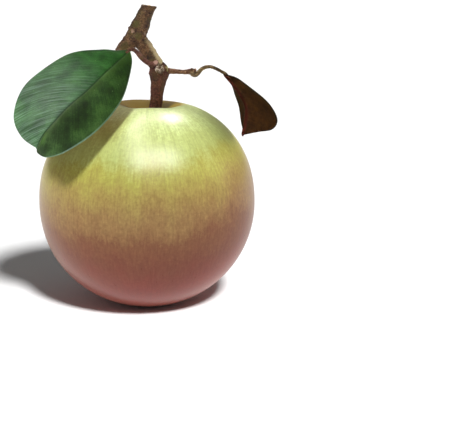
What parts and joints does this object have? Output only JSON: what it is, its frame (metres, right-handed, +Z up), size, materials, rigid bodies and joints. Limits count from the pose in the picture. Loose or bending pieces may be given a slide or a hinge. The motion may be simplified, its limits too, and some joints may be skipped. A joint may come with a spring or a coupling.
{
  "type": "star apple",
  "caption": "Whole ripening star apple on its stalk, with a cut piece of twig, a sound green leaf and a withered leaf.",
  "frame": {"origin": "middle of the small flat spot that the fruit rests on", "axes": "+Z up through the fruit towards its stalk, +X towards the withered leaf, -Y towards the side that the green leaf hangs on"},
  "size_m": [0.0922, 0.08, 0.1118],
  "materials": {
    "fruit_skin": "satin waxy skin, yellow-green above to pinkish brown below",
    "dry_sepal": "dry, papery",
    "bark": "rough young bark with pale flecks",
    "fresh_petiole": "smooth, slightly downy",
    "green_leaf": "leathery and glossy above, coppery and velvety beneath",
    "dry_petiole": "dry, wrinkled",
    "dead_leaf": "dry, dark coppery brown"
  },
  "bodies": {
    "root": {"fruit": "fruit_skin", "calyx": "dry_sepal", "fruit_stalk": "bark", "twig": "bark", "spur_shoot": "bark", "axil_bud": "dry_sepal", "green_leaf_petiole": "fresh_petiole", "green_leaf_blade": "green_leaf", "brown_leaf_petiole": "dry_petiole", "brown_leaf_blade": "dead_leaf"}
  },
  "joints": []
}
